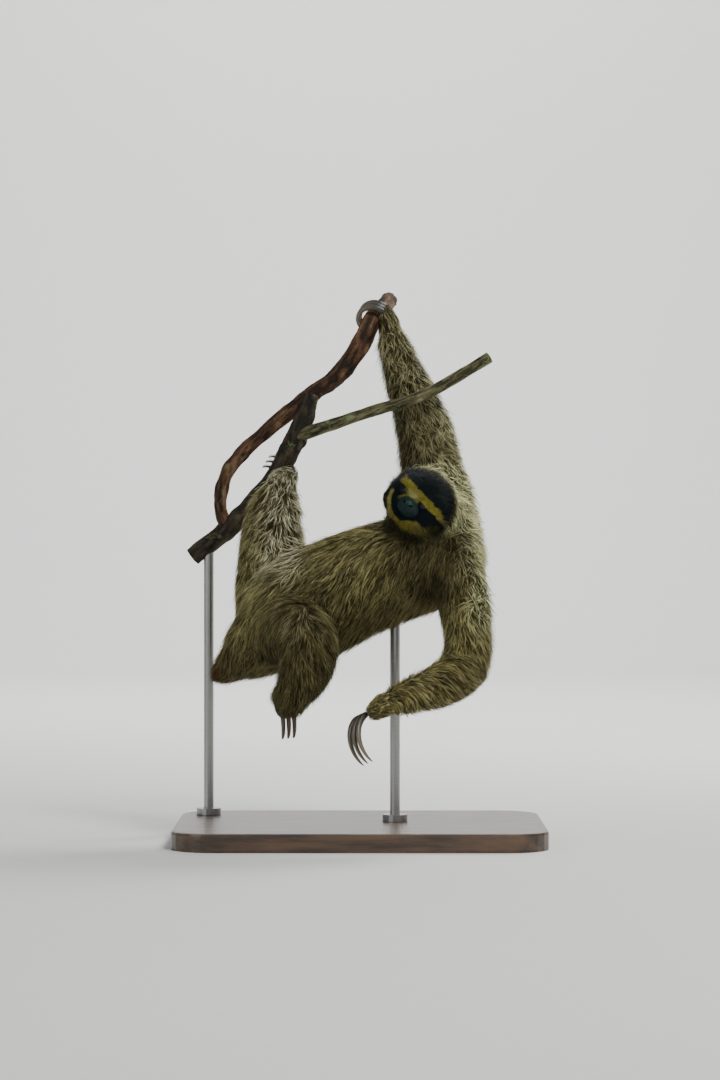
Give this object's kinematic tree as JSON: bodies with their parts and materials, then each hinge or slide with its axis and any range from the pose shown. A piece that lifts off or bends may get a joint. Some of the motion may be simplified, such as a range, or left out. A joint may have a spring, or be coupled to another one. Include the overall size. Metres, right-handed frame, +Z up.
{
  "type": "three-toed sloth model",
  "caption": "Life-size still model of a three-toed sloth hanging from a cut branch by one hand and one foot, on a flat base with upright rods.",
  "frame": {"origin": "middle of the underside of the stand's base", "axes": "+Z up, +X towards the animal's head, +Y from the animal's left side to its right side"},
  "size_m": [0.44, 0.34, 0.6647],
  "materials": {
    "coat": "long coarse grey-brown hair with a greenish tinge",
    "nose_skin": "bare dark damp leathery skin",
    "eye": "wet dark brown",
    "claw": "smooth horn",
    "bark": "rough reddish-brown bark",
    "stand_wood": "dark stained wood with a satin lacquer",
    "stand_metal": "brushed rod"
  },
  "bodies": {
    "root": {"claw_foot_left_1": "claw", "claw_foot_left_2": "claw", "claw_foot_left_3": "claw", "claw_foot_right_1": "claw", "claw_foot_right_2": "claw", "claw_foot_right_3": "claw", "claw_hand_left_1": "claw", "claw_hand_left_2": "claw", "claw_hand_left_3": "claw", "claw_hand_right_1": "claw", "claw_hand_right_2": "claw", "claw_hand_right_3": "claw", "eye_left": "eye", "eye_right": "eye", "head": "coat", "left_foot": "coat", "left_forearm": "coat", "left_hand": "coat", "left_shank": "coat", "left_thigh": "coat", "left_upper_arm": "coat", "neck": "coat", "nose": "nose_skin", "perch_bough": "bark", "perch_branch": "bark", "perch_twig": "bark", "right_foot": "coat", "right_forearm": "coat", "right_hand": "coat", "right_shank": "coat", "right_thigh": "coat", "right_upper_arm": "coat", "stand_base": "stand_wood", "stand_rod_body": "stand_metal", "stand_rod_perch": "stand_metal", "tail": "coat", "trunk": "coat"}
  },
  "joints": []
}
